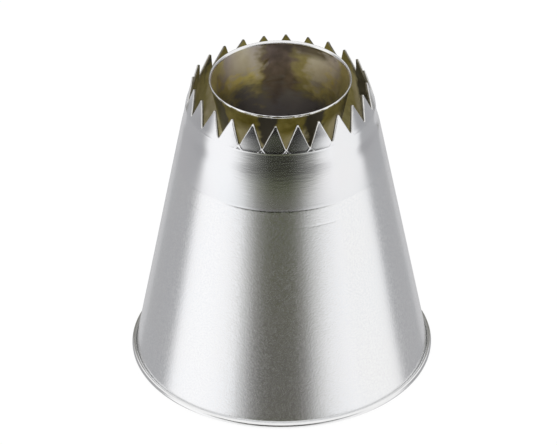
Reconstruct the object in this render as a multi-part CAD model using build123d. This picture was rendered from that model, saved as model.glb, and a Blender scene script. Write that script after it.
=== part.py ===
from build123d import *
from dataclasses import dataclass
from math import atan, cos, degrees, radians, sin, tan
from typing import Callable
import os

# A ring nozzle for piping: a conical shell with a toothed mouth, and a closed inner cone that
# three bent legs hold in its middle. Dough goes in at the wide base, flows between the legs
# and leaves as a ring through the slit between the teeth and the cone's lip.
# Millimetres, +Z up, origin at the centre of the base on the resting plane. +Y is the back.

# Sheet stock
sheet = 0.45
leg_sheet = 0.8

# Outer shell, over the outside
base_diameter = 55.0
shell_height = 57.0
mouth_diameter = 31.0
crease_diameter = 34.1
crease_drop = 1.0

# Hem at the base, turned outward and up
hem_height = 1.05
hem_slit = 0.2
hem_bend = 0.45
hem_edge = 0.12

# Teeth of the mouth, with one tip at first_tooth_angle from +X
tooth_count = 24
tooth_depth = 4.2
tooth_tip = 0.35
notch_floor = 0.25
first_tooth_angle = 10.9

# Scribed ring round the shell
ring_height = 41.4
ring_width = 0.24
ring_depth = 0.06

# Inner cone
slit_width = 2.25
lip_rise = 0.4
flare_height = 0.5
flare_reach = 0.28
cone_angle = 10.5
cone_depth = 41.0

# Support legs
leg_count = 3
first_leg_angle = 90.0
leg_height = 8.0
leg_lift = 0.5
shell_foot_length = 6.5
cone_foot_length = 4.6

# Welds in the legs' feet
weld_diameter = 1.6
weld_spacing = 4.0
weld_crown = 0.2

# Clearance between welded faces, and how far cutting tools run past what they cut
seat_gap = 0.02
cut_over = 1.0

# Outer shell, worked out
base_radius = base_diameter / 2
mouth_radius = mouth_diameter / 2
crease_radius = crease_diameter / 2
root_height = shell_height - tooth_depth
crease_height = root_height - crease_drop
wall_base_radius = base_radius - sheet - hem_slit
wall_lean = atan((wall_base_radius - crease_radius) / crease_height)
crown_lean = atan((crease_radius - mouth_radius) / (shell_height - crease_height))
wall_across = sheet / cos(wall_lean)
crown_across = sheet / cos(crown_lean)
tooth_pitch = 360 / tooth_count

# Inner cone, worked out. The nose is a ball that the wall runs into without a corner.
cone_lean = radians(cone_angle)
lip_height = shell_height + lip_rise
lip_radius = mouth_radius - crown_across - slit_width
neck_height = lip_height - flare_height
neck_radius = lip_radius - flare_reach
nose_height = lip_height - cone_depth
wall_at_nose = neck_radius - (neck_height - nose_height) * tan(cone_lean)
nose_radius = wall_at_nose * cos(cone_lean) / (1 - sin(cone_lean))
nose_centre = nose_height + nose_radius
nose_end = nose_centre - nose_radius * sin(cone_lean)

# Legs, worked out
leg_bottom = nose_end + leg_lift
leg_top = leg_bottom + leg_height
leg_middle = leg_bottom + leg_height / 2
leg_angles = [first_leg_angle + i * 360 / leg_count for i in range(leg_count)]


def shell_outside(z):
    """Radius of the shell's outer wall below the crease."""
    return wall_base_radius - z * tan(wall_lean)


def shell_inside(z):
    """Radius of the shell's inner wall below the crease."""
    return shell_outside(z) - wall_across


def cone_outside(z):
    """Radius of the cone's outer wall above the nose."""
    return neck_radius - (neck_height - z) * tan(cone_lean)


@dataclass
class Seat:
    """Conical wall that the legs' feet are welded to."""

    radius_at: Callable
    lean: float
    side: int
    foot_length: float
    foot_way: int

    def foot_arc(self):
        """Angle that a foot covers, in degrees."""
        return degrees(self.foot_length / self.radius_at(leg_middle))


# side is 1 where feet lie outside a wall and -1 inside it. foot_way is 1 for feet that point
# counter-clockwise from their leg, seen from above, and -1 for the other way.
shell_seat = Seat(shell_inside, wall_lean, -1, shell_foot_length, -1)
cone_seat = Seat(cone_outside, cone_lean, 1, cone_foot_length, 1)
seats = [shell_seat, cone_seat]


def around(section, arc=360.0):
    """Solid made by turning a half section of radius and height about the nozzle's axis."""
    return revolve(Plane.XZ * section, Axis.Z, revolution_arc=arc)


def outline_face(*points):
    """Face inside a closed outline of straight lines."""
    return make_face(Polyline(*points, close=True))


def ring_groove():
    """Outline points of the scribed ring on the outer wall, from below."""
    low = ring_height - ring_width / 2
    high = ring_height + ring_width / 2
    floor = shell_outside(ring_height) - ring_depth
    return [(shell_outside(low), low), (floor, ring_height), (shell_outside(high), high)]


def shell_section():
    """Half section of the shell: hem, outer wall, crown and inner wall."""
    section = outline_face(
        (shell_inside(0), 0),
        (base_radius, 0),
        (base_radius, hem_height),
        (base_radius - sheet, hem_height),
        (base_radius - sheet, sheet),
        (shell_outside(sheet), sheet),
        *ring_groove(),
        (crease_radius, crease_height),
        (mouth_radius, shell_height),
        (mouth_radius - crown_across, shell_height),
        (crease_radius - wall_across, crease_height),
    )
    section = fillet(section.vertices().group_by(Axis.Y)[0], hem_bend)
    hem_top = section.vertices().sort_by(Axis.X)[-1]
    return fillet(hem_top, hem_edge)


def notch():
    """Prism along +X that cuts the gap between two teeth."""
    gap_width = mouth_radius * radians(tooth_pitch) - tooth_tip
    spread = (gap_width - notch_floor) / tooth_depth
    top_width = gap_width + cut_over * spread
    top = shell_height + cut_over
    outline = outline_face(
        (-notch_floor / 2, root_height),
        (notch_floor / 2, root_height),
        (top_width / 2, top),
        (-top_width / 2, top),
    )
    return extrude(Plane.YZ * outline, crease_radius + cut_over)


def outer_shell():
    """The shell, with its hem and its toothed mouth."""
    first_notch = first_tooth_angle + tooth_pitch / 2
    cutter = notch()
    cutters = [Rot(0, 0, first_notch + i * tooth_pitch) * cutter for i in range(tooth_count)]
    return around(shell_section()) - cutters


def cone_points(skin):
    """Bottom, nose middle, nose end, neck and lip of the cone, drawn in by skin."""
    ball = nose_radius - skin
    inset = skin / cos(cone_lean)
    middle = radians(90 - cone_angle) / 2
    return [
        (0, nose_centre - ball),
        (ball * sin(middle), nose_centre - ball * cos(middle)),
        (ball * cos(cone_lean), nose_centre - ball * sin(cone_lean)),
        (neck_radius - inset, neck_height),
        (lip_radius - inset, lip_height),
    ]


def inner_cone():
    """The cone, closed by its ball nose and open at its flared lip."""
    outside = cone_points(0)
    inside = cone_points(sheet)
    outline = Curve() + [
        ThreePointArc(*outside[:3]),
        Polyline(*outside[2:], *reversed(inside[2:])),
        ThreePointArc(*inside[:3]),
        Line(inside[0], outside[0]),
    ]
    return around(make_face(outline))


def layer(seat, near, far, arc):
    """Layer that lies from near to far off a wall, over the legs' height and an arc in degrees."""
    start = seat.side * near / cos(seat.lean)
    end = seat.side * far / cos(seat.lean)
    low = seat.radius_at(leg_bottom)
    high = seat.radius_at(leg_top)
    section = outline_face(
        (low + start, leg_bottom),
        (low + end, leg_bottom),
        (high + end, leg_top),
        (high + start, leg_top),
    )
    return around(section, arc)


def foot(seat):
    """Foot of a leg along +X, formed to its wall and bent off the leg's web."""
    arc = seat.foot_arc()
    start = min(0, seat.foot_way) * arc
    return Rot(0, 0, start) * layer(seat, seat_gap, seat_gap + leg_sheet, arc)


def weld_places(seat):
    """Places of the welds of one foot on its wall, each with Z square to the wall."""
    bearing = seat.foot_way * seat.foot_arc() / 2
    square = (seat.side * cos(seat.lean), 0, -sin(seat.lean))
    places = []
    for z in (leg_middle - weld_spacing / 2, leg_middle + weld_spacing / 2):
        wall_point = (seat.radius_at(z), 0, z)
        plane = Plane(wall_point, x_dir=(0, 1, 0), z_dir=square)
        places.append(Rot(0, 0, bearing) * plane.location)
    return places


def rod(radius, top):
    """Round bar along Z, from behind the wall up to a height off it."""
    return extrude(Plane.XY.offset(-cut_over) * Circle(radius), cut_over + top)


def web():
    """Upright plate of a leg along +X, from wall to wall."""
    cone_gap = seat_gap / cos(cone_lean)
    shell_gap = seat_gap / cos(wall_lean)
    outline = outline_face(
        (cone_outside(leg_bottom) + cone_gap, leg_bottom),
        (shell_inside(leg_bottom) - shell_gap, leg_bottom),
        (shell_inside(leg_top) - shell_gap, leg_top),
        (cone_outside(leg_top) + cone_gap, leg_top),
    )
    return extrude(Plane.XZ * outline, leg_sheet / 2, both=True)


def support_leg():
    """Leg along +X: a web with a foot at each end, bent opposite ways and holed for welds."""
    leg = web() + [foot(seat) for seat in seats]
    hole = rod(weld_diameter / 2, leg_sheet + cut_over)
    return leg - [place * hole for seat in seats for place in weld_places(seat)]


def weld(seat):
    """Weld that fills a foot's hole, rounded at its head, for the first place on a seat."""
    top = seat_gap + leg_sheet + weld_crown
    plug = rod(weld_diameter / 2 - seat_gap, top)
    return fillet(plug.edges().group_by(Axis.Z)[-1], weld_crown)


def welds(seat):
    """All the welds that fasten the legs to one wall."""
    behind = layer(seat, 0, -2 * cut_over, 360.0)
    plug = weld(seat)
    solids = []
    for angle in leg_angles:
        for place in weld_places(seat):
            solids.append(Rot(0, 0, angle) * (place * plug - behind))
    return Compound(solids)


def build():
    """Every node of the nozzle, by name."""
    nodes = {"outer_shell": outer_shell(), "inner_cone": inner_cone()}
    leg = support_leg()
    for number, angle in enumerate(leg_angles, start=1):
        nodes[f"support_leg_{number}"] = Rot(0, 0, angle) * leg
    nodes["shell_spot_welds"] = welds(shell_seat)
    nodes["cone_spot_welds"] = welds(cone_seat)
    return nodes


os.makedirs("parts", exist_ok=True)
for name, shape in build().items():
    export_step(shape, f"parts/{name}.step")
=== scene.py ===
import math
import random

import bpy
import numpy as np
from mathutils import Matrix, Vector


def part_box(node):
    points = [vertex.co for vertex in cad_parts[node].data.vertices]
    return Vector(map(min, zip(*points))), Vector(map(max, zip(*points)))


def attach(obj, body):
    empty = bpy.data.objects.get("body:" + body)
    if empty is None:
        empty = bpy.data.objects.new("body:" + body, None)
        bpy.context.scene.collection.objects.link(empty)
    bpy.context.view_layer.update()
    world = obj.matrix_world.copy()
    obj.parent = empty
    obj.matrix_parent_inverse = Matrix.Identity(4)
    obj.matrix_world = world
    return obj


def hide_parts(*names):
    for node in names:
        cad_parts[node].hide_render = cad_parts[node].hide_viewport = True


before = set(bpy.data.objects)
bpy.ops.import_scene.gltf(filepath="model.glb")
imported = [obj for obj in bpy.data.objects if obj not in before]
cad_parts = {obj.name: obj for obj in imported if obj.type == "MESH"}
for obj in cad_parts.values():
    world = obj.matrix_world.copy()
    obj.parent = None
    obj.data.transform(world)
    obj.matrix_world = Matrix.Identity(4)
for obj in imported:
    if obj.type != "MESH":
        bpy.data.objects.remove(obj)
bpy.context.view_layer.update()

# A ring nozzle of thin stainless sheet: toothed outer shell, inner cone, three welded legs.
# Lengths on the nozzle are millimetres, and turn into metres in the meshes. Heights count from
# the base, and angles round the axis from +X.
MM = 0.001

# Sheet
SHEET = 0.45

# Outer shell, taken from the frame where it gives the size
SHELL_LOW, SHELL_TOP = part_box("outer_shell")
BASE_RADIUS = min(-SHELL_LOW.x, -SHELL_LOW.y, SHELL_TOP.x, SHELL_TOP.y) / MM
SHELL_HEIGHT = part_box("outer_shell")[1].z / MM
MOUTH_RADIUS = 15.5
CREASE_RADIUS = 17.05
CREASE_DROP = 1.0
CREASE_SOFTNESS = 0.035
WALL_INSET = 0.02
SKIN_SPARE = 0.01

# Slight waves of a turned wall: height, count round the axis, phase, and turn for each millimetre up.
# They fade in over the first millimetres of the shell.
SHELL_WAVES = ((0.012, 2, 0.4, 0), (0.008, 5, 0, 1 / 9), (0.005, 11, 0, -1 / 5))
SHELL_WAVE_START = 6.0

# Hem at the base: a rolled bead, and a groove between it and the wall
HEM_HEIGHT = 1.05
HEM_SLIT = 0.2
HEM_BEND = 0.45
HEM_INSET = 0.07
BEAD_REACH = 0.47
GROOVE_SHARE = 0.63
GROOVE_HEIGHT = 0.76
FOOT_HEIGHT = 0.7
FOOT_CURVE = 0.03
FOOT_CURVE_HEIGHT = 0.3

# Teeth
TOOTH_COUNT = 24
TOOTH_DEPTH = 4.2
TOOTH_TIP = 0.3
TIP_ROUNDING = 0.1
TIP_SHARE = 0.999
NOTCH_FLOOR = 0.16
FIRST_TOOTH = math.radians(10.9)

# Rounding of the teeth's cut edge, which starts further down on the steep flanks. Its rows are
# (inwards, down), and down counts as a share of where the rounding starts.
EDGE_START = 0.07
FLANK_START = 0.25
FLANK_FADE = 12
FLANK_END = 0.99
TOOTH_EDGE = ((0.04, 0.45), (0.1, 0.12), (0.18, 0.0))
INNER_BEVEL = 0.02

# Lowest and highest change from tooth to tooth: in height, in lean and in place
TOOTH_SEED = 24
HEIGHT_CHANGE = (-0.16, 0.0)
LEAN_CHANGE = (-0.12, 0.1)
PLACE_CHANGE = (-0.07, 0.07)

# Teeth that stand a little upright on the left, and lean a little to the right in front
UPRIGHT_LEAN = 0.3
UPRIGHT_ANGLE = math.radians(190)
TWIST = 0.2
TWIST_ANGLE = math.radians(266)

# Pressed lines that run on below a notch's root, and the little pit between them. TOP, FULL and END
# are distances below the root.
LINE_HEIGHT = 0.07
LINE_WIDTH = 0.09
LINE_START = 0.05
LINE_SPREAD = 0.85
LINE_TOP = -0.15
LINE_FULL = 0.7
LINE_END = 0.75
LINE_FAINTEST = 0.15
PIT_DEPTH = 0.06
PIT_WIDTH = 0.26
PIT_HEIGHT = 0.2
PIT_DROP = 0.42

# Scribed ring, faint broken ring and fold line on the outer wall. A beat is a wave's count round the
# axis and its phase.
RING_HEIGHT = 41.4
RING_DEPTH = 0.022
RING_CHANGE = 0.25
RING_BEAT = (3, 1.0)
RING_WIDTH = 0.14
FAINT_RING_HEIGHT = 38.1
FAINT_RING_DEPTH = 0.012
FAINT_RING_SHARE = 0.35
FAINT_RING_BEATS = ((7, 0.0), (3, 2.0))
FOLD_LINE_HEIGHT = 52.0
FOLD_LINE_DEPTH = 0.012
FOLD_LINE_WIDTH = 0.12

# Waist under the crown, on the sides, and soft shoulder below it, in front
WAIST_HEIGHT = 49.7
WAIST_DEPTH = 0.14
WAIST_WIDTH = 1.3
WAIST_SKEW = 0.45
SHOULDER_START = 43.0
SHOULDER_END = 49.0
SHOULDER_SLOPE = 0.045

# Inner cone, taken from the frame where it gives the size
LIP_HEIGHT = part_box("inner_cone")[1].z / MM
LIP_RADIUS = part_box("inner_cone")[1].x / MM
NOSE_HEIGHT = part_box("inner_cone")[0].z / MM
FLARE_HEIGHT = 0.5
FLARE_REACH = 0.28
CONE_LEAN = math.radians(10.5)
CONE_INSET = 0.036
NOSE_INSET = 0.01
BELL_START = 48.0
BELL_REACH = 0.16
CONE_WAVES = ((0.02, 3, 0.7, 0), (0.01, 8, 0, -1 / 4), (0.006, 17, 0, 1 / 2.5))

# Lip of the cone: rounded outside, bevelled inside (inwards, down), and thinner than the sheet
LIP_HALF_WIDTH = 0.14
LIP_HALF_HEIGHT = 0.25
LIP_BEVEL = ((0.235, 0.06), (0.43, 0.42), (0.445, 0.49))
LIP_SHEET = 0.23
THIN_START = 51.0
THIN_RUN = 6.0
SCALLOP_DEPTH = 0.09
SCALLOP_ANGLE = math.radians(268)
SCALLOP_WAVES = ((0.6, 47, 1.3, 0), (0.4, 61, 0.4, 0))

# Slanted dent inside the cone, the low rim on one side of it, and the bore's radius there
DENT_ANGLE = math.radians(102.5)
DENT_HEIGHT = 53.4
DENT_RADIUS = 12.0
DENT_SLANT = (0.6, 0.8)
DENT_DEPTH = 0.12
DENT_WIDTH = 0.28
DENT_LENGTH = 0.7
RIM_DEPTH = 0.04
RIM_PLACE = 0.5
RIM_WIDTH = 0.25
RIM_LENGTH = 0.6

# Fineness of the meshes: columns at these distances from a notch's middle, and heights of rows. An
# arc of rows is its first and last angle over level, in degrees, and the number of its rows.
SHARP_ANGLE = math.radians(35)
NOTCH_COLUMNS = (0.0, 0.05, 0.11, 0.18, 0.26, 0.34, 0.42, 0.5, 0.58, 0.68, 0.84, 1.06, 1.34, 1.64, 1.86)
COLUMN_GAP = 0.1
SHELL_ROWS = (
    0.76, 0.84, 0.95, 1.06, 1.22, 1.5, 2.2, 3.5,
    *np.arange(6.0, 37.0, 3.1),
    37.7, 37.9, 38.0, 38.1, 38.2, 38.3, 38.5, 39.5, 40.6, 41.0,
    41.15, 41.25, 41.33, 41.4, 41.47, 41.55, 41.65, 41.9, 42.4,
    *np.arange(43.2, 51.3, 0.75),
    51.5, 51.7, 51.82, 51.92, 52.0, 52.08,
)
CROWN_START = 52.15
CROWN_ROWS = 16
INNER_CROWN_START = 51.85
INNER_CROWN_ROWS = 8
INNER_SHOULDER_ROWS = (51.0, 50.0, 48.4, 46.0, 43.0)
INNER_WALL_ROWS = (38.0, 31.0, 21.0, 11.0, 3.0)
BEAD_ARC = (-90, 126, 18)
HEM_BEND_ARC = (180, 270, 7)
CONE_COLUMNS = 360
NOSE_ARC = (-87, -10.5, 14)
INNER_NOSE_ARC = (-12, -87, 12)
LIP_ARC = (-30, 110, 10)
CONE_ROWS = (23.0, 26.0, 30.0, 34.0, 38.0, 42.0, 46.0, 49.0, 51.5, 53.5, 55.0, 56.0, 56.5, 56.8)
BORE_ROWS = (
    56.85, 56.65, *np.arange(56.4, 50.6, -0.22),
    50.2, 49.4, 48.0, 46.0, 43.0, 39.0, 35.0, 30.0, 26.0, 23.0,
)

# Materials of a mesh's faces, in the order of its slots
SATIN, CUT, DRAWN, BEAD, SHEARED = range(5)
CONE_OUTSIDE, CONE_LIP, CONE_BORE = range(3)

# Finishes. A grain is its features a metre, its detail, and how it is squeezed along the axes. Relief
# is a depth, and roughness and colour have a low and a high value that follow a grain. Nearly all of a
# grain's values lie between these two.
GRAIN_LOW = 0.3
GRAIN_HIGH = 0.7

# Plain steels: grain, relief, roughness and colour
PLAIN_STEELS = {
    # Rolled bead of the base and lip of the cone: smooth, with faint turning marks
    "polished_steel": ((500, 2.0, (1, 1, 8)), 0.004, (0.14, 0.22), ((0.84, 0.84, 0.84), (0.88, 0.88, 0.88))),
    # Cut edges of the sheet: bright, with short marks of the cut
    "cut_edge_steel": ((900, 3.0, (1, 1, 3)), 0.02, (0.3, 0.45), ((0.80, 0.79, 0.77), (0.86, 0.85, 0.83))),
    # Flat cut faces of the teeth: dull, dark and finely grained
    "sheared_steel": ((1400, 3.0, (1, 1, 1)), 0.02, (0.42, 0.55), ((0.16, 0.145, 0.1), (0.3, 0.28, 0.22))),
    # Legs: satin strip with a lengthwise grain
    "strip_steel": ((700, 3.0, (1, 1, 6)), 0.01, (0.3, 0.42), ((0.70, 0.69, 0.66), (0.75, 0.74, 0.71))),
    # Welds: dull metal, faintly blue and straw from the heat
    "weld_steel": ((500, 3.0, (1, 1, 1)), 0.05, (0.42, 0.6), ((0.50, 0.50, 0.54), (0.62, 0.57, 0.46))),
}

# Satin outside of the shell: sandy below the scribed ring, and smoother with turning streaks above
# it. Sand and streaks each have a share of the relief at all heights, and a further share on their
# own side of the ring. STREAK_FADE and UPPER_ROUGHNESS give two values and their two heights.
SAND_GRAIN = (3300, 0.0)
STREAK_GRAIN = (420, 1.0, (1, 1, 8))
SATIN_CLOUDS = (70, 3.0)
FINISH_CHANGE = 0.05
SATIN_RELIEF = 0.011
SAND_SHARE = 0.03
SAND_SHARE_BELOW = 0.65
STREAK_SHARE = 0.12
STREAK_SHARE_ABOVE = 0.3
STREAK_FADE = (1.0, 0.35, 51.0, 52.5)
SAND_ROUGHNESS = (0.16, 0.268)
UPPER_ROUGHNESS = (0.26, 0.16, RING_HEIGHT, 47.0)
STREAK_TINT = (-0.15, 0.33)
COOL_STEEL = ((0.83, 0.845, 0.86), (0.89, 0.89, 0.90))
WARM_STEEL = ((0.845, 0.84, 0.85), (0.89, 0.895, 0.89))

# Drawn sheet inside the shell and outside the cone: olive-tinted steel whose light and dark patches are
# painted reflections, with darker olive near the teeth. The patches and the spots of painted dark
# reflection set in between two values of the patches' grain.
DRAWING_GRAIN = (220, 4.0, (1, 1, 9))
REFLECTION_PATCH_GRAIN = (170, 3.0, (1, 1, 0.45))
SHEET_MOTTLE = (650, 3.0)
DRAWN_RELIEF = 0.012
DRAWN_ROUGHNESS = (0.29, 0.36)
# Light and dark olive patches, both painted reflection, and darker olive near the teeth
LIGHT_REFLECTION_PATCH = ((0.55, 0.505, 0.375), (0.66, 0.62, 0.49))
OLIVE_DARK_REFLECTION_PATCH = ((0.30, 0.27, 0.11), (0.45, 0.405, 0.2))
DARKER_TOP_OLIVE = ((0.2, 0.172, 0.045), (0.34, 0.295, 0.1))
REFLECTION_PATCH_EDGE = (0.44, 0.56)
DARKER_TOP_HEIGHTS = (52.0, 54.0)
DARKER_TOP_WAVE = 1.2
DARK_REFLECTION_SPOT_EDGE = (0.67, 0.72)

# Upright near-black bands of painted dark reflection on the drawn sheet: (angle, half width) and
# colour, the softness of their edges, and how far the patches and the mottle shift these, in degrees
SHELL_DARK_REFLECTIONS = ((24, 12),)
SHELL_DARK_REFLECTION_COLOUR = (0.045, 0.041, 0.042)
CONE_DARK_REFLECTIONS = ((208, 9), (258, 6.5), (300, 9))
CONE_DARK_REFLECTION_COLOUR = (0.08, 0.074, 0.07)
DARK_REFLECTION_EDGE = 2
DARK_REFLECTION_PATCHING = 4.0
DARK_REFLECTION_MOTTLE = 2.0

# Inside of the cone: olive, with a painted beige-grey reflection over it near the lip and painted gold
# reflections on the sides, and painted shade in the depth. An edge is the two heights, or the two
# distances from the middle, between which it lies.
BORE_CLOUDS = (150, 3.0)
BORE_MOTTLE = (600, 3.0)
BORE_WISPS = (380, 2.0, (1, 1, 2.4))
BORE_RELIEF = 0.014
BORE_ROUGHNESS = (0.285, 0.33)
BORE_OLIVE = ((0.74, 0.66, 0.3), (0.9, 0.82, 0.46))
# Painted reflections: beige-grey near the lip, gold on the sides
BORE_PALE_REFLECTION = ((0.60, 0.56, 0.57), (0.68, 0.645, 0.67))
BORE_GOLD_REFLECTION = ((0.76, 0.71, 0.38), (0.89, 0.84, 0.48))
# Painted shade of the bore's depth
BORE_DEPTH_SHADE = (0.375, 0.36, 0.38)
PALE_REFLECTION_EDGE = (50.5, 53.0)
DEPTH_SHADE_EDGE = (46.0, 49.5)
GOLD_REFLECTION_EDGE = (9.8, 11.2)

# How far the wisps and the clouds shift the bore's edges up and down, and sideways
HEIGHT_WISPS = 1.5
HEIGHT_CLOUDS = 2.5
SIDE_WISPS = 0.9
SIDE_CLOUDS = 1.5
GOLD_REFLECTION_CLOUDS = 1.6

# The bore's stripes and dark arch, painted reflections, lie at its back. In front of the axis their
# distance is BACK_ONLY's first value more, which takes them out of sight.
BACK_ONLY = (9.0, 0.0, -1.0, 1.0)

# Stripes of painted reflection down the back of the bore: place across, edge and colour
BORE_REFLECTED_STRIPES = (
    (1.1, (3.7, 5.9), ((0.32, 0.285, 0.14), (0.46, 0.41, 0.22))),
    (0.1, (2.2, 3.9), ((0.2, 0.165, 0.155), (0.32, 0.265, 0.24))),
)

# Dark arch of painted reflection at the back of the bore, near the lip: place across, edge, lower edge
# and colour
ARCH_REFLECTION_PLACE = 4.6
ARCH_REFLECTION_EDGE = (2.6, 5.0)
ARCH_REFLECTION_HEIGHTS = (54.7, 55.9)
ARCH_REFLECTION_COLOUR = (0.17, 0.145, 0.12)

# Camera, in metres and degrees: straight in front of the nozzle, looking down on it
CAMERA_DISTANCE = 0.98309
CAMERA_ELEVATION = 35.1496
CAMERA_PAN = 0.0281
CAMERA_PITCH = 1.2752
CAMERA_ROLL = 0.2995
CAMERA_LENS = 344.84
CAMERA_SENSOR = 36
CAMERA_CLIP = (0.01, 20)

# Light paths long enough for the slit between the shell and the cone
BOUNCES = 16

# Floor, in metres: a near disc inside the hem, and the rest of it
FLOOR_INSIDE = 0.0268
FLOOR_OUTSIDE = 2.5
FLOOR_STEPS = 128
FLOOR_COLOUR = (0.95, 0.95, 0.95, 1)
FLOOR_STRENGTH = 1.03
FLOOR_GLOW = 0.88

# Shades of the cards that the steel mirrors
WHITE = (1.04, 1.04, 1.05)
PALE = (1.09, 1.09, 1.1)
LOW_SIDE = (0.49, 0.49, 0.5)
SIDE = (0.44, 0.44, 0.45)
HIGH_SIDE = (0.37, 0.37, 0.38)
BACK_LOW = (0.6, 0.6, 0.61)
BACK = (0.24, 0.236, 0.215)
BACK_HIGH = (0.45, 0.45, 0.45)

# Cards, in metres and degrees: azimuths count from the camera's side towards +X, and elevations
# from the cards' centre
CARD_DISTANCE = 1.6
CARD_CENTRE = 0.03
CARD_STEPS = 5
FRONT_EDGE = 60
LEFT_EDGE = 91
RIGHT_EDGE = 98
BACK_EDGE = 146
SIDE_FADE = 9

# Runs across the dark front card, from crisp to wide: (azimuth, share of the bright shade beside it)
HARD_EDGES = (
    (-60, 1), (-46, 1), (-39, 0.98), (-31, 0.53), (-23, 0.12), (-13, 0),
    (11, 0), (20, 0.2), (29, 0.74), (40, 0.98), (60, 1),
)
SOFT_EDGES = (
    (-60, 1), (-56, 1), (-46, 0.85), (-34, 0.42), (-22, 0.17), (-9, 0),
    (9, 0), (22, 0.17), (34, 0.38), (45, 0.8), (60, 1),
)
WIDE_EDGES = (
    (-60, 1), (-57, 0.95), (-51, 0.55), (-44, 0.16), (-36, 0.04), (-12, 0),
    (12, 0), (26, 0.03), (40, 0.1), (52, 0.5), (60, 1),
)

# Middle of the dark front card, from below: elevation, its edges (0 hard, 1 soft, 2 wide) and shade
FRONT_ROWS = (
    (-38, 1, (0.02, 0.018, 0.018)),
    (-28, 1, (0.02, 0.018, 0.018)),
    (-27, 0, (0.155, 0.143, 0.148)),
    (-15, 0, (0.13, 0.12, 0.124)),
    (-14, 0, (0.115, 0.106, 0.1)),
    (-13.3, 0, (0.12, 0.115, 0.095)),
    (-12.6, 0.2, (0.14, 0.145, 0.08)),
    (-12, 0.5, (0.17, 0.18, 0.11)),
    (-11, 0.8, (0.17, 0.19, 0.1)),
    (-10, 1, (0.16, 0.18, 0.105)),
    (-8, 1.2, (0.08, 0.08, 0.068)),
    (-6, 2, (0.007, 0.006, 0.006)),
    (16, 2, (0.007, 0.006, 0.006)),
)

# Side cards, from below: elevation, backward shift of their front edge, and shade
SIDE_ROWS = (
    (-60, 0, LOW_SIDE),
    (-24, 0, SIDE),
    (-20, 0, SIDE),
    (-12, -8, HIGH_SIDE),
    (8, -8, HIGH_SIDE),
    (28, -8, WHITE),
)

# Back cards, from below: elevation and shade
BACK_LOW_ROWS = ((-60, BACK_LOW), (-24, BACK_LOW))
BACK_ROWS = ((-24, BACK), (24, BACK), (50, BACK_HIGH), (60, WHITE))

# Shell, worked out
ROOT_HEIGHT = SHELL_HEIGHT - TOOTH_DEPTH
CREASE_HEIGHT = ROOT_HEIGHT - CREASE_DROP
WALL_BASE = BASE_RADIUS - SHEET - HEM_SLIT
WALL_SLOPE = (WALL_BASE - CREASE_RADIUS) / CREASE_HEIGHT
CROWN_SLOPE = (CREASE_RADIUS - MOUTH_RADIUS) / (SHELL_HEIGHT - CREASE_HEIGHT)
WALL_ACROSS = SHEET * math.hypot(1, WALL_SLOPE)
SKIN_ACROSS = WALL_ACROSS + SKIN_SPARE
TOOTH_PITCH = 2 * math.pi / TOOTH_COUNT
FIRST_NOTCH = FIRST_TOOTH - TOOTH_PITCH / 2

# Cone, worked out
NECK_RADIUS = LIP_RADIUS - FLARE_REACH
NECK_HEIGHT = LIP_HEIGHT - FLARE_HEIGHT
NOSE_WALL = NECK_RADIUS - (NECK_HEIGHT - NOSE_HEIGHT) * math.tan(CONE_LEAN)
NOSE_RADIUS = NOSE_WALL * math.cos(CONE_LEAN) / (1 - math.sin(CONE_LEAN))
NOSE_CENTRE = NOSE_HEIGHT + NOSE_RADIUS
INNER_NOSE_RADIUS = NOSE_RADIUS - SHEET


# Meshes

def bump(x, width):
    """Bell curve of height 1."""
    return np.exp(-(x / width) ** 2)


def facing(angle, towards):
    """1 in a direction, falling to 0 at a quarter turn from it."""
    return np.clip(np.cos(angle - towards), 0, 1) ** 4


def tilts(arc):
    """Angles of an arc's rows, in radians."""
    return np.radians(np.linspace(*arc))


def beat(angle, count, phase):
    """Wave of height 1 round the axis."""
    return np.sin(count * angle + phase)


def waves(table, angle, z=0.0):
    """Sum of the waves in a table of height, count, phase and turn for each millimetre up."""
    return sum(size * np.sin(count * angle + phase + turn * z) for size, count, phase, turn in table)


class Skin:
    """Skin of a turned piece, made of rows of points round the axis."""

    def __init__(self, angle):
        self.angle = angle
        self.rows = []
        self.kinds = []

    def add(self, radius, z, kind, turned=None):
        """Adds a row, with the material of the faces from it to the next row."""
        angle = self.angle if turned is None else turned
        row = (radius * np.cos(angle), radius * np.sin(angle), z + 0 * angle)
        self.rows.append(np.stack(row, axis=1))
        self.kinds.append(kind)

    def points(self):
        """All points, column after column round the axis."""
        return np.stack(self.rows, axis=1).reshape(-1, 3)

    def faces(self, closed):
        """Faces and their materials. A closed skin runs on from its last row to its first."""
        columns = len(self.angle)
        rows = len(self.rows)
        faces = []
        kinds = []
        for j in range(columns):
            here = j * rows
            there = ((j + 1) % columns) * rows
            for i in range(rows if closed else rows - 1):
                up = (i + 1) % rows
                faces.append((here + i, there + i, there + up, here + up))
                kinds.append(self.kinds[i])
        return faces, kinds


def smooth_mesh(name, points, faces, kinds):
    """Object from points in millimetres, with smooth faces and a material for each face."""
    mesh = bpy.data.meshes.new(name)
    mesh.from_pydata([tuple(p) for p in np.asarray(points) * MM], [], faces)
    mesh.validate()
    mesh.polygons.foreach_set("use_smooth", [True] * len(mesh.polygons))
    mesh.polygons.foreach_set("material_index", kinds)
    mesh.set_sharp_from_angle(angle=SHARP_ANGLE)
    mesh.update()
    return placed(name, mesh)


def placed(name, mesh):
    """Object with a mesh, put into the scene."""
    thing = bpy.data.objects.new(name, mesh)
    bpy.context.collection.objects.link(thing)
    return thing


# Outer shell

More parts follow.
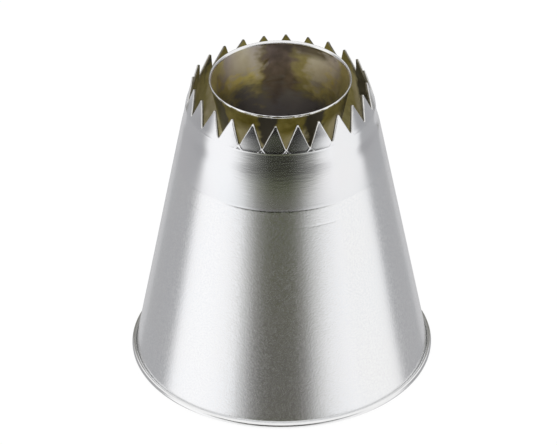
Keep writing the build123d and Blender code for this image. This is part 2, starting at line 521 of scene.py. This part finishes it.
def wall_radius(z, angle):
    """Outer radius of the shell at a height and an angle, without the small marks."""
    front = np.clip(-np.sin(angle), 0, 1) ** 2
    run = SHOULDER_END - SHOULDER_START
    bend = np.clip(z - SHOULDER_START, 0, run)
    past = np.maximum(z - SHOULDER_END, 0)
    shoulder = SHOULDER_SLOPE * (bend ** 2 / 2 / run + past)
    straight = WALL_BASE - WALL_SLOPE * z - front * shoulder
    crown = CREASE_RADIUS - CROWN_SLOPE * (z - CREASE_HEIGHT)
    over = straight - crown
    radius = straight - 0.5 * (over + np.sqrt(over ** 2 + CREASE_SOFTNESS ** 2))
    side = (1.0 + WAIST_SKEW * np.cos(angle)) * (1 - front)
    radius = radius - WAIST_DEPTH * side * bump(z - WAIST_HEIGHT, WAIST_WIDTH)
    foot = FOOT_CURVE * np.exp(-np.maximum(z - FOOT_HEIGHT, 0) / FOOT_CURVE_HEIGHT)
    wander = waves(SHELL_WAVES, angle, z) - WALL_INSET
    return radius + foot + wander * np.clip(z / SHELL_WAVE_START, 0, 1)


def ring_marks(z, angle):
    """Depth of the scribed ring, which is firmer and fainter by turns, and of the broken faint ring,
    less the height of the fold line."""
    firm = RING_DEPTH * (1 - RING_CHANGE + RING_CHANGE * beat(angle, *RING_BEAT))
    quick, slow = FAINT_RING_BEATS
    broken = beat(angle, *quick) * beat(angle, *slow)
    faint = FAINT_RING_DEPTH * np.clip(FAINT_RING_SHARE + (1 - FAINT_RING_SHARE) * broken, 0, 1)
    rings = firm * bump(z - RING_HEIGHT, RING_WIDTH) + faint * bump(z - FAINT_RING_HEIGHT, RING_WIDTH)
    return rings - FOLD_LINE_DEPTH * bump(z - FOLD_LINE_HEIGHT, FOLD_LINE_WIDTH)


def root_marks(across, z, angle):
    """Height of the pressed lines and depth of the pits below the notches, firmest in front."""
    drop = ROOT_HEIGHT - z
    line_at = LINE_START + LINE_SPREAD * np.clip(drop, 0, LINE_FULL)
    lines = bump(across - line_at, LINE_WIDTH) * (drop > LINE_TOP) * (drop < LINE_END)
    pit = bump(across, PIT_WIDTH) * bump(drop - PIT_DROP, PIT_HEIGHT)
    firm = LINE_FAINTEST + (1 - LINE_FAINTEST) * facing(angle, TWIST_ANGLE) ** 4
    return firm * (LINE_HEIGHT * lines - PIT_DEPTH * pit)


class Teeth:
    """The teeth, each a little different in height, lean and place, on the columns of the mesh."""

    def __init__(self):
        chance = random.Random(TOOTH_SEED)
        self.height = np.array([chance.uniform(*HEIGHT_CHANGE) for _ in range(TOOTH_COUNT)])
        self.lean = np.array([chance.uniform(*LEAN_CHANGE) for _ in range(TOOTH_COUNT)])
        self.shift = np.array([chance.uniform(*PLACE_CHANGE) for _ in range(TOOTH_COUNT)])
        self.angle, self.tooth = self.columns()
        self.top, self.across = self.cut_edge()
        self.drop = self.rounding()

    def columns(self):
        """Angle and tooth of each column: close together at the notches, wider on the flanks."""
        tip = 0.5 * TOOTH_TIP * CREASE_RADIUS / MOUTH_RADIUS
        middle = TOOTH_PITCH / 2 * CREASE_RADIUS
        half = [x for x in NOTCH_COLUMNS if x < middle - tip - COLUMN_GAP]
        half += [middle - tip, middle - tip / 2, middle]
        pitch = half + [2 * middle - x for x in reversed(half[1:-1])]
        angles = []
        tooth = []
        for k in range(TOOTH_COUNT):
            for x in pitch:
                angles.append(FIRST_NOTCH + k * TOOTH_PITCH + x / CREASE_RADIUS)
                tooth.append(k)
        return np.array(angles), np.array(tooth)

    def cut_edge(self):
        """Height of the cut edge, and the distance across from the nearest notch."""
        local = self.angle - FIRST_NOTCH - self.tooth * TOOTH_PITCH
        from_notch = np.minimum(local, TOOTH_PITCH - local)
        gap = MOUTH_RADIUS * TOOTH_PITCH - TOOTH_TIP
        spread = (gap - NOTCH_FLOOR) / TOOTH_DEPTH
        root_radius = CREASE_RADIUS - CROWN_SLOPE * CREASE_DROP
        sine = np.sin(from_notch)
        rise = (sine * root_radius - NOTCH_FLOOR / 2) / (spread / 2 + CROWN_SLOPE * sine)
        share = np.clip(rise / TOOTH_DEPTH, 0, 1)
        rise = np.clip(rise, 0, TOOTH_DEPTH) + self.height[self.tooth] * share ** 2
        from_tip = np.abs(local - TOOTH_PITCH / 2) * MOUTH_RADIUS / (0.5 * TOOTH_TIP)
        rise = rise - TIP_ROUNDING * np.clip(from_tip, 0, 1) ** 2 * (share > TIP_SHARE)
        return ROOT_HEIGHT + rise, from_notch * root_radius

    def rounding(self):
        """How far below the cut edge its rounding starts: further on the steep flanks."""
        share = (self.top - ROOT_HEIGHT) / TOOTH_DEPTH
        flank = np.clip(share * FLANK_FADE, 0, 1) * np.clip((FLANK_END - share) * FLANK_FADE, 0, 1)
        return EDGE_START + FLANK_START * flank

    def moved(self, z):
        """Angle and inward lean of a row on the teeth, which grow with its height."""
        share = np.clip((z - ROOT_HEIGHT) / TOOTH_DEPTH, 0, 1)
        centre = FIRST_NOTCH + (self.tooth + 0.5) * TOOTH_PITCH
        upright = UPRIGHT_LEAN * facing(centre, UPRIGHT_ANGLE)
        twist = TWIST * facing(centre, TWIST_ANGLE)
        turn = (self.shift[self.tooth] + twist) * share ** 1.5 / MOUTH_RADIUS
        return self.angle + turn, (self.lean[self.tooth] - upright) * share ** 2


def add_hem(skin):
    """Rows of the rolled bead, from underneath, and of the groove between it and the wall."""
    centre = BASE_RADIUS - BEAD_REACH
    half_height = HEM_HEIGHT / 2
    for tilt in tilts(BEAD_ARC):
        skin.add(centre + BEAD_REACH * math.cos(tilt), half_height + half_height * math.sin(tilt), BEAD)
    skin.add(centre - BEAD_REACH * GROOVE_SHARE, GROOVE_HEIGHT, SATIN)
    skin.add(WALL_BASE - WALL_SLOPE * FOOT_HEIGHT + FOOT_CURVE, FOOT_HEIGHT, SATIN)


def add_outer_wall(skin, teeth):
    """Rows of the outer wall, and of the crown up to the rounding of its cut edge."""
    angle = teeth.angle
    for z in SHELL_ROWS:
        skin.add(wall_radius(z, angle) - ring_marks(z, angle), z, SATIN)
    for i in range(CROWN_ROWS + 1):
        height = CROWN_START + (teeth.top - teeth.drop - CROWN_START) * i / CROWN_ROWS
        turned, lean = teeth.moved(height)
        marks = root_marks(teeth.across, height, angle) - ring_marks(height, angle)
        kind = SATIN if i < CROWN_ROWS else CUT
        skin.add(wall_radius(height, angle) + marks - lean, height, kind, turned)


def add_tooth_edge(skin, teeth):
    """Rows of the teeth's cut edge: rounded outside, and flat across the sheet."""
    for inward, down in (*TOOTH_EDGE, (SKIN_ACROSS - INNER_BEVEL, 0.0)):
        height = teeth.top - down * teeth.drop
        turned, lean = teeth.moved(height)
        kind = CUT if down else SHEARED
        skin.add(wall_radius(height, teeth.angle) - lean - inward, height, kind, turned)


def add_inner_wall(skin, teeth):
    """Rows of the inner wall, from the teeth down into the hem's bend."""
    angle = teeth.angle
    rise = teeth.top - INNER_BEVEL - INNER_CROWN_START
    for i in range(INNER_CROWN_ROWS, -1, -1):
        height = INNER_CROWN_START + rise * i / INNER_CROWN_ROWS
        turned, lean = teeth.moved(height)
        skin.add(wall_radius(height, angle) - lean - SKIN_ACROSS, height, DRAWN, turned)
    for z in INNER_SHOULDER_ROWS:
        skin.add(wall_radius(z, angle) - SKIN_ACROSS, z, DRAWN)
    for z in INNER_WALL_ROWS:
        skin.add(WALL_BASE - WALL_SLOPE * z - WALL_ACROSS, z, DRAWN)
    centre = WALL_BASE - WALL_ACROSS + HEM_BEND - HEM_INSET
    for tilt in tilts(HEM_BEND_ARC):
        skin.add(centre + HEM_BEND * math.cos(tilt), HEM_BEND + HEM_BEND * math.sin(tilt), DRAWN)


def outer_shell():
    """The shell with its rolled hem and its teeth, one closed skin."""
    teeth = Teeth()
    skin = Skin(teeth.angle)
    add_hem(skin)
    add_outer_wall(skin, teeth)
    add_tooth_edge(skin, teeth)
    add_inner_wall(skin, teeth)
    faces, kinds = skin.faces(closed=True)
    return smooth_mesh("toothed_shell", skin.points(), faces, kinds)


# Inner cone

def cone_radius(z, angle):
    """Outer radius of the cone's wall at a height."""
    bell = BELL_REACH * np.clip((z - BELL_START) / (LIP_HEIGHT - BELL_START), 0, 1) ** 2
    straight = NECK_RADIUS - (NECK_HEIGHT - z) * math.tan(CONE_LEAN)
    return straight + bell + waves(CONE_WAVES, angle, z) - CONE_INSET


def scallops(angle):
    """Depth of the small uneven waves in the lip's outer edge, in front."""
    return SCALLOP_DEPTH * (0.5 + 0.5 * waves(SCALLOP_WAVES, angle)) * facing(angle, SCALLOP_ANGLE)


def cone_dent(z, angle):
    """Depth of the small slanted dent inside the cone, near the back of its lip."""
    along = (angle - DENT_ANGLE) * DENT_RADIUS
    up = z - DENT_HEIGHT
    less, more = DENT_SLANT
    slant = up * more - along * less
    side = along * more + up * less
    dent = DENT_DEPTH * bump(side, DENT_WIDTH) * bump(slant, DENT_LENGTH)
    return dent - RIM_DEPTH * bump(side + RIM_PLACE, RIM_WIDTH) * bump(slant, RIM_LENGTH)


def add_cone_outside(skin):
    """Rows of the cone's outside, from its nose up to its neck."""
    for tilt in tilts(NOSE_ARC):
        radius = NOSE_RADIUS * math.cos(tilt) - NOSE_INSET
        skin.add(radius, NOSE_CENTRE + NOSE_RADIUS * math.sin(tilt), CONE_OUTSIDE)
    for z in CONE_ROWS:
        skin.add(cone_radius(z, skin.angle), z, CONE_OUTSIDE)
    skin.add(cone_radius(NECK_HEIGHT, skin.angle), NECK_HEIGHT, CONE_LIP)


def add_lip(skin):
    """Rows of the lip: rounded outside with its scallops, and bevelled inside."""
    for tilt in tilts(LIP_ARC):
        inward = LIP_HALF_WIDTH * (1 - math.cos(tilt)) + scallops(skin.angle) * max(math.cos(tilt), 0)
        skin.add(LIP_RADIUS - inward, LIP_HEIGHT - LIP_HALF_HEIGHT * (1 - math.sin(tilt)), CONE_LIP)
    for inward, down in LIP_BEVEL:
        skin.add(LIP_RADIUS - inward, LIP_HEIGHT - down, CONE_LIP)


def add_bore(skin):
    """Rows of the cone's inside, from its lip down to its nose."""
    for z in BORE_ROWS:
        thin = (SHEET - LIP_SHEET) * np.clip((z - THIN_START) / THIN_RUN, 0, 1)
        across = (SHEET - thin) / math.cos(CONE_LEAN)
        skin.add(cone_radius(z, skin.angle) - across + cone_dent(z, skin.angle), z, CONE_BORE)
    for tilt in tilts(INNER_NOSE_ARC):
        height = NOSE_CENTRE + INNER_NOSE_RADIUS * math.sin(tilt)
        skin.add(INNER_NOSE_RADIUS * math.cos(tilt), height, CONE_BORE)


def inner_cone():
    """The cone with its closed nose and its rounded, flared lip, one closed skin."""
    skin = Skin(np.arange(CONE_COLUMNS) * 2 * math.pi / CONE_COLUMNS)
    add_cone_outside(skin)
    add_lip(skin)
    add_bore(skin)
    faces, kinds = skin.faces(closed=False)
    points = list(skin.points())
    outer_pole = len(points)
    points.append((0, 0, NOSE_CENTRE - NOSE_RADIUS))
    points.append((0, 0, NOSE_CENTRE - INNER_NOSE_RADIUS))
    rows = len(skin.rows)
    for j in range(CONE_COLUMNS):
        here = j * rows
        there = ((j + 1) % CONE_COLUMNS) * rows
        faces.append((outer_pole, there, here))
        faces.append((outer_pole + 1, here + rows - 1, there + rows - 1))
        kinds += [CONE_OUTSIDE, CONE_BORE]
    return smooth_mesh("closed_cone", points, faces, kinds)


# Materials

class Paint:
    """Node tree of one metal, built in small steps."""

    def __init__(self, name):
        self.material = bpy.data.materials.new(name)
        self.material.use_nodes = True
        self.tree = self.material.node_tree
        self.tree.nodes.clear()
        self.shader = self.tree.nodes.new("ShaderNodeBsdfPrincipled")
        self.shader.inputs["Metallic"].default_value = 1.0
        output = self.tree.nodes.new("ShaderNodeOutputMaterial")
        self.tree.links.new(self.shader.outputs[0], output.inputs[0])
        self.place = self.tree.nodes.new("ShaderNodeTexCoord").outputs["Object"]

    def noise(self, scale, detail=3.0, squeeze=(1, 1, 1)):
        """Noise with a feature size of 1 / scale metres, squeezed along the axes."""
        mapping = self.tree.nodes.new("ShaderNodeMapping")
        mapping.inputs["Scale"].default_value = squeeze
        self.tree.links.new(self.place, mapping.inputs["Vector"])
        node = self.tree.nodes.new("ShaderNodeTexNoise")
        node.inputs["Scale"].default_value = scale
        node.inputs["Detail"].default_value = detail
        self.tree.links.new(mapping.outputs[0], node.inputs["Vector"])
        return node.outputs["Fac"]

    def spread(self, value, low, high, start=GRAIN_LOW, end=GRAIN_HIGH):
        """Value from start..end moved to low..high, and kept inside it."""
        node = self.tree.nodes.new("ShaderNodeMapRange")
        node.inputs["From Min"].default_value = start
        node.inputs["From Max"].default_value = end
        node.inputs["To Min"].default_value = low
        node.inputs["To Max"].default_value = high
        self.tree.links.new(value, node.inputs["Value"])
        return node.outputs["Result"]

    def math(self, kind, first, second=0.0):
        """One sum of one or two values, each a socket or a number."""
        node = self.tree.nodes.new("ShaderNodeMath")
        node.operation = kind
        for socket, value in zip(node.inputs, (first, second)):
            if isinstance(value, (int, float)):
                socket.default_value = value
            else:
                self.tree.links.new(value, socket)
        return node.outputs[0]

    def add(self, first, second):
        """Two values added up."""
        return self.math("ADD", first, second)

    def times(self, first, second):
        """Two values multiplied."""
        return self.math("MULTIPLY", first, second)

    def off(self, value, place):
        """How far a value lies from a place, on either side."""
        return self.math("ABSOLUTE", self.math("SUBTRACT", value, place))

    def ragged(self, value, *parts):
        """Value shifted both ways by its parts. A part is a noise and its reach."""
        for noise, reach in parts:
            value = self.add(value, self.spread(noise, -reach, reach))
        return value

    def mix(self, factor, first, second):
        """Colour between two colours, each a socket or a plain colour."""
        node = self.tree.nodes.new("ShaderNodeMix")
        node.data_type = "RGBA"
        self.tree.links.new(factor, node.inputs[0])
        for socket, value in ((node.inputs[6], first), (node.inputs[7], second)):
            if isinstance(value, tuple):
                socket.default_value = (*value, 1)
            else:
                self.tree.links.new(value, socket)
        return node.outputs[2]

    def blend(self, value, first, second, start=GRAIN_LOW, end=GRAIN_HIGH):
        """Colour that changes from the first to the second as a value goes from start to end."""
        return self.mix(self.spread(value, 0.0, 1.0, start, end), first, second)

    def along(self, axis):
        """Place along an axis, 0 to 2 for X to Z, in millimetres."""
        node = self.tree.nodes.new("ShaderNodeSeparateXYZ")
        self.tree.links.new(self.place, node.inputs[0])
        return self.times(node.outputs[axis], 1 / MM)

    def turn_from(self, angle):
        """How far a point lies from an angle round the axis, in degrees."""
        turned = self.tree.nodes.new("ShaderNodeVectorRotate")
        turned.rotation_type = "Z_AXIS"
        turned.inputs["Angle"].default_value = -math.radians(angle)
        self.tree.links.new(self.place, turned.inputs["Vector"])
        radial = self.tree.nodes.new("ShaderNodeTexGradient")
        radial.gradient_type = "RADIAL"
        self.tree.links.new(turned.outputs[0], radial.inputs["Vector"])
        return self.times(self.off(radial.outputs["Fac"], 0.5), 360.0)

    def relief(self, value, depth):
        """Bump from a height value, with its depth in millimetres."""
        node = self.tree.nodes.new("ShaderNodeBump")
        node.inputs["Strength"].default_value = 1.0
        node.inputs["Distance"].default_value = depth * MM
        self.tree.links.new(value, node.inputs["Height"])
        self.tree.links.new(node.outputs[0], self.shader.inputs["Normal"])

    def finish(self, roughness, colour):
        """Roughness and colour onto the shader. Returns the material."""
        self.tree.links.new(roughness, self.shader.inputs["Roughness"])
        self.tree.links.new(colour, self.shader.inputs["Base Color"])
        return self.material


def plain_steel(name):
    """Steel with one even grain, from the table of plain steels."""
    grain, depth, roughness, colours = PLAIN_STEELS[name]
    paint = Paint(name)
    marks = paint.noise(*grain)
    paint.relief(marks, depth)
    return paint.finish(paint.spread(marks, *roughness), paint.blend(marks, *colours))


def satin_steel():
    """Outside of the shell: sandy satin, and smoother with turning streaks above the scribed ring."""
    paint = Paint("satin_steel")
    sand = paint.noise(*SAND_GRAIN)
    streaks = paint.noise(*STREAK_GRAIN)
    height = paint.along(2)
    above = paint.spread(height, 0.0, 1.0, RING_HEIGHT, RING_HEIGHT + FINISH_CHANGE)
    below = paint.math("SUBTRACT", 1.0, above)
    sand_share = paint.add(paint.times(below, SAND_SHARE_BELOW), SAND_SHARE)
    streak_share = paint.add(paint.times(above, STREAK_SHARE_ABOVE), STREAK_SHARE)
    streak_part = paint.times(paint.times(streaks, streak_share), paint.spread(height, *STREAK_FADE))
    paint.relief(paint.add(paint.times(sand, sand_share), streak_part), SATIN_RELIEF)
    rough_below = paint.times(below, paint.spread(sand, *SAND_ROUGHNESS))
    rough_above = paint.times(above, paint.spread(height, *UPPER_ROUGHNESS))
    grain = paint.add(paint.times(below, sand), paint.times(above, paint.spread(streaks, *STREAK_TINT)))
    cool = paint.blend(grain, *COOL_STEEL)
    warm = paint.blend(grain, *WARM_STEEL)
    colour = paint.blend(paint.noise(*SATIN_CLOUDS), cool, warm)
    return paint.finish(paint.add(rough_below, rough_above), colour)


def drawn_steel(name, dark_reflections, dark_reflection_colour):
    """Olive-tinted drawn sheet, darker near the teeth, with patches of painted reflection and upright
    bands of painted dark reflection.
    """
    paint = Paint(name)
    patches = paint.noise(*REFLECTION_PATCH_GRAIN)
    mottle = paint.noise(*SHEET_MOTTLE)
    paint.relief(paint.noise(*DRAWING_GRAIN), DRAWN_RELIEF)
    # Olive tint with light and dark patches of painted reflection, darker olive near the teeth
    light_patch = paint.blend(mottle, *LIGHT_REFLECTION_PATCH)
    olive = paint.blend(mottle, *OLIVE_DARK_REFLECTION_PATCH)
    darker_top = paint.blend(mottle, *DARKER_TOP_OLIVE)
    patched = paint.blend(patches, light_patch, olive, *REFLECTION_PATCH_EDGE)
    height = paint.ragged(paint.along(2), (patches, DARKER_TOP_WAVE))
    patched = paint.blend(height, patched, darker_top, *DARKER_TOP_HEIGHTS)
    # Near-black spots and upright bands of painted dark reflection
    darkened = paint.spread(patches, 0.0, 1.0, *DARK_REFLECTION_SPOT_EDGE)
    for angle, half_width in dark_reflections:
        away = paint.ragged(paint.turn_from(angle), (patches, -DARK_REFLECTION_PATCHING), (mottle, DARK_REFLECTION_MOTTLE))
        dark_band = paint.spread(away, 1.0, 0.0, half_width - DARK_REFLECTION_EDGE, half_width + DARK_REFLECTION_EDGE)
        darkened = paint.math("MAXIMUM", darkened, dark_band)
    return paint.finish(paint.spread(mottle, *DRAWN_ROUGHNESS), paint.mix(darkened, patched, dark_reflection_colour))


def bore_steel():
    """Inside of the cone, olive lower down, with painted reflections: beige-grey near the lip, gold on its
    sides, stripes at the back and a dark arch beside them; and painted shade in the depth."""
    paint = Paint("bore_steel")
    clouds = paint.noise(*BORE_CLOUDS)
    mottle = paint.noise(*BORE_MOTTLE)
    wisps = paint.noise(*BORE_WISPS)
    paint.relief(paint.noise(*DRAWING_GRAIN), BORE_RELIEF)
    across = paint.along(0)
    height = paint.along(2)
    uneven = paint.ragged(height, (wisps, HEIGHT_WISPS), (clouds, HEIGHT_CLOUDS))
    olive = paint.blend(mottle, *BORE_OLIVE)
    # Painted beige-grey reflection near the lip
    upper = paint.blend(uneven, olive, paint.blend(mottle, *BORE_PALE_REFLECTION), *PALE_REFLECTION_EDGE)
    back_only = paint.spread(paint.along(1), *BACK_ONLY)
    shift = paint.ragged(back_only, (wisps, SIDE_WISPS), (clouds, SIDE_CLOUDS))
    # Stripes and dark arch of painted reflection, at the back only
    for place, edge, colours in BORE_REFLECTED_STRIPES:
        off_stripe = paint.add(paint.off(across, place), shift)
        upper = paint.blend(off_stripe, paint.blend(mottle, *colours), upper, *edge)
    off_arch = paint.add(paint.off(across, ARCH_REFLECTION_PLACE), shift)
    near_lip = paint.spread(height, 0.0, 1.0, *ARCH_REFLECTION_HEIGHTS)
    arch = paint.times(near_lip, paint.spread(off_arch, 1.0, 0.0, *ARCH_REFLECTION_EDGE))
    upper = paint.mix(arch, upper, ARCH_REFLECTION_COLOUR)
    # Painted gold reflections on the sides
    sideways = paint.ragged(paint.off(across, 0.0), (clouds, GOLD_REFLECTION_CLOUDS))
    upper = paint.blend(sideways, upper, paint.blend(mottle, *BORE_GOLD_REFLECTION), *GOLD_REFLECTION_EDGE)
    # Painted shade that darkens the depth
    colour = paint.blend(uneven, BORE_DEPTH_SHADE, upper, *DEPTH_SHADE_EDGE)
    return paint.finish(paint.spread(mottle, *BORE_ROUGHNESS), colour)


# Studio

def bare_material(name):
    """New material with no nodes, whose glow is left out of the light sampling, and its node tree."""
    material = bpy.data.materials.new(name)
    material.use_nodes = True
    material.node_tree.nodes.clear()
    material.cycles.emission_sampling = "NONE"
    return material, material.node_tree


def card_paint():
    """Even glow in the card's own shades."""
    material, tree = bare_material("card")
    shade = tree.nodes.new("ShaderNodeAttribute")
    shade.attribute_name = "shade"
    shine = tree.nodes.new("ShaderNodeEmission")
    output = tree.nodes.new("ShaderNodeOutputMaterial")
    tree.links.new(shade.outputs["Color"], shine.inputs["Color"])
    tree.links.new(shine.outputs[0], output.inputs[0])
    return material


def between(first, second, share):
    """Numbers a share of the way from the first list to the second."""
    return [a + (b - a) * share for a, b in zip(first, second)]


def stepped(stops):
    """Stops with evenly spread steps between each two, every stop a list of numbers."""
    full = []
    for first, second in zip(stops, stops[1:]):
        full += [between(first, second, i / CARD_STEPS) for i in range(CARD_STEPS)]
    return full + [list(stops[-1])]


def card(name, paint, rows):
    """Curved card round the nozzle. A row is (elevation, stops) and a stop (azimuth, red, green,
    blue). Places and shades run on evenly between them."""
    flat = [[elevation] + [value for stop in stepped(stops) for value in stop] for elevation, stops in rows]
    points = []
    shades = []
    for line in stepped(flat):
        lift = math.radians(line[0])
        for azimuth, *shade in zip(line[1::4], line[2::4], line[3::4], line[4::4]):
            turn = math.radians(azimuth)
            points.append((
                CARD_DISTANCE * math.cos(lift) * math.sin(turn),
                -CARD_DISTANCE * math.cos(lift) * math.cos(turn),
                CARD_DISTANCE * math.sin(lift) + CARD_CENTRE,
            ))
            shades += [*shade, 1.0]
    across = len(flat[0]) // 4
    faces = []
    for i in range(len(points) // across - 1):
        for j in range(across - 1):
            k = i * across + j
            faces.append((k, k + 1, k + across + 1, k + across))
    mesh = bpy.data.meshes.new(name)
    mesh.from_pydata(points, [], faces)
    mesh.color_attributes.new("shade", "FLOAT_COLOR", "POINT").data.foreach_set("color", shades)
    mesh.materials.append(paint)
    thing = placed(name, mesh)
    thing.visible_camera = False
    thing.visible_diffuse = False
    thing.visible_shadow = False


def front_rows():
    """Rows of the dark front card, between the pale shade on its left and the white on its right."""
    rows = []
    for elevation, kind, middle in FRONT_ROWS:
        first, second = (HARD_EDGES, SOFT_EDGES) if kind <= 1 else (SOFT_EDGES, WIDE_EDGES)
        part = kind if kind <= 1 else kind - 1
        stops = []
        for i, (one, other) in enumerate(zip(first, second)):
            azimuth, share = between(one, other, part)
            beside = PALE if i < len(first) / 2 else WHITE
            stops.append((azimuth, *between(middle, beside, share)))
        rows.append((elevation, stops))
    return rows


def left_bright_rows():
    """Rows of the pale card between the front card and the left side."""
    return [
        (elevation, ((-LEFT_EDGE - shift, *PALE), (-FRONT_EDGE, *PALE)))
        for elevation, shift, _ in SIDE_ROWS
    ]


def side_rows(sign, edge, beside):
    """Rows of the grey card at one side, which fades out of the shade beside its front edge."""
    rows = []
    for elevation, shift, shade in SIDE_ROWS:
        start = edge + shift
        stops = (
            (sign * start, *beside),
            (sign * (start + SIDE_FADE), *shade),
            (sign * BACK_EDGE, *shade),
        )
        rows.append((elevation, stops))
    return rows


def back_rows(rows):
    """Rows of a card behind the nozzle, whose shade only changes upwards."""
    far_edge = 360 - BACK_EDGE
    return [(elevation, ((BACK_EDGE, *shade), (far_edge, *shade))) for elevation, shade in rows]


def floor_disc(name, inner, outer):
    """Flat ring of floor, or a disc where it has no inner radius, in metres."""
    points = []
    for radius in (inner, outer):
        for i in range(FLOOR_STEPS):
            a = 2 * math.pi * i / FLOOR_STEPS
            points.append((radius * math.cos(a), radius * math.sin(a), 0))
    faces = []
    for i in range(FLOOR_STEPS):
        n = (i + 1) % FLOOR_STEPS
        faces.append((i, FLOOR_STEPS + i, FLOOR_STEPS + n, n))
    if not inner:
        faces = [tuple(range(FLOOR_STEPS, 2 * FLOOR_STEPS))]
    mesh = bpy.data.meshes.new(name)
    mesh.from_pydata(points, [], faces)
    thing = placed(name, mesh)
    return thing


def floor_paint(name, kinds):
    """White floor that glows for some kinds of rays and keeps a soft share of the shadow."""
    material, tree = bare_material(name)
    plain = tree.nodes.new("ShaderNodeBsdfDiffuse")
    plain.inputs["Color"].default_value = FLOOR_COLOUR
    shine = tree.nodes.new("ShaderNodeEmission")
    shine.inputs["Strength"].default_value = FLOOR_STRENGTH
    path = tree.nodes.new("ShaderNodeLightPath")
    seen = path.outputs[kinds[0]]
    for kind in kinds[1:]:
        either = tree.nodes.new("ShaderNodeMath")
        either.operation = "MAXIMUM"
        tree.links.new(seen, either.inputs[0])
        tree.links.new(path.outputs[kind], either.inputs[1])
        seen = either.outputs[0]
    share = tree.nodes.new("ShaderNodeMath")
    share.operation = "MULTIPLY"
    share.inputs[1].default_value = FLOOR_GLOW
    tree.links.new(seen, share.inputs[0])
    mix = tree.nodes.new("ShaderNodeMixShader")
    tree.links.new(share.outputs[0], mix.inputs[0])
    tree.links.new(plain.outputs[0], mix.inputs[1])
    tree.links.new(shine.outputs[0], mix.inputs[2])
    output = tree.nodes.new("ShaderNodeOutputMaterial")
    tree.links.new(mix.outputs[0], output.inputs[0])
    return material


def studio():
    """White room, a white floor and the cards that the steel mirrors."""
    world = bpy.data.worlds.new("white_room")
    bpy.context.scene.world = world
    world.use_nodes = True
    sky = world.node_tree.nodes["Background"]
    sky.inputs["Color"].default_value = (1, 1, 1, 1)
    sky.inputs["Strength"].default_value = 1.0
    near = floor_disc("floor_near", 0.0, FLOOR_INSIDE)
    near.data.materials.append(floor_paint("floor_inside", ("Is Glossy Ray",)))
    far = floor_disc("floor_far", FLOOR_INSIDE, FLOOR_OUTSIDE)
    far.visible_glossy = False
    seen = ("Is Camera Ray", "Is Glossy Ray", "Is Transmission Ray")
    far.data.materials.append(floor_paint("floor_white", seen))
    paint = card_paint()
    card("front", paint, front_rows())
    card("left_bright", paint, left_bright_rows())
    card("left_side", paint, side_rows(-1, LEFT_EDGE, PALE))
    card("right_side", paint, side_rows(1, RIGHT_EDGE, WHITE))
    card("back_low", paint, back_rows(BACK_LOW_ROWS))
    card("back", paint, back_rows(BACK_ROWS))


def place_camera():
    """Camera at the photograph's viewing angle."""
    data = bpy.data.cameras.new("camera")
    data.sensor_width = CAMERA_SENSOR
    data.sensor_fit = "HORIZONTAL"
    data.lens = CAMERA_LENS
    data.clip_start, data.clip_end = CAMERA_CLIP
    camera = bpy.data.objects.new("camera", data)
    bpy.context.collection.objects.link(camera)
    bpy.context.scene.camera = camera
    lift = math.radians(CAMERA_ELEVATION)
    place = Vector((0, -math.cos(lift), math.sin(lift))) * CAMERA_DISTANCE
    ahead = -place.normalized()
    right = ahead.cross(Vector((0, 0, 1))).normalized()
    up = right.cross(ahead)
    pan = Matrix.Rotation(math.radians(CAMERA_PAN), 3, up)
    ahead, right = pan @ ahead, pan @ right
    pitch = Matrix.Rotation(math.radians(CAMERA_PITCH), 3, right)
    ahead, up = pitch @ ahead, pitch @ up
    roll = Matrix.Rotation(math.radians(CAMERA_ROLL), 3, ahead)
    right, up = roll @ right, roll @ up
    turn = Matrix((right, up, -ahead)).transposed()
    camera.matrix_world = Matrix.Translation(place) @ turn.to_4x4()


def dress():
    """Shell and cone skins over their nodes, and finishes for every piece."""
    shell = outer_shell()
    cone = inner_cone()
    polished = plain_steel("polished_steel")
    # The drawn steels carry patches and bands of painted reflection
    drawn_shell = drawn_steel("drawn_steel", SHELL_DARK_REFLECTIONS, SHELL_DARK_REFLECTION_COLOUR)
    drawn_cone = drawn_steel("drawn_cone_steel", CONE_DARK_REFLECTIONS, CONE_DARK_REFLECTION_COLOUR)
    cut = plain_steel("cut_edge_steel")
    for material in (satin_steel(), cut, drawn_shell, polished, plain_steel("sheared_steel")):
        shell.data.materials.append(material)
    for material in (drawn_cone, polished, bore_steel()):
        cone.data.materials.append(material)
    for piece, node, slot in ((shell, "outer_shell", "shell_steel"), (cone, "inner_cone", "cone_steel")):
        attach(piece, "root")
        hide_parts(node)
    strip = plain_steel("strip_steel")
    weld = plain_steel("weld_steel")
    for name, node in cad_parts.items():
        if name.startswith("support_leg"):
            finish = strip
        elif name.endswith("spot_welds"):
            finish = weld
        else:
            continue
        for place in node.material_slots:
            place.material = finish


scene = bpy.context.scene
scene.view_settings.view_transform = "Standard"
scene.cycles.max_bounces = BOUNCES
scene.cycles.glossy_bounces = BOUNCES
place_camera()
studio()
dress()
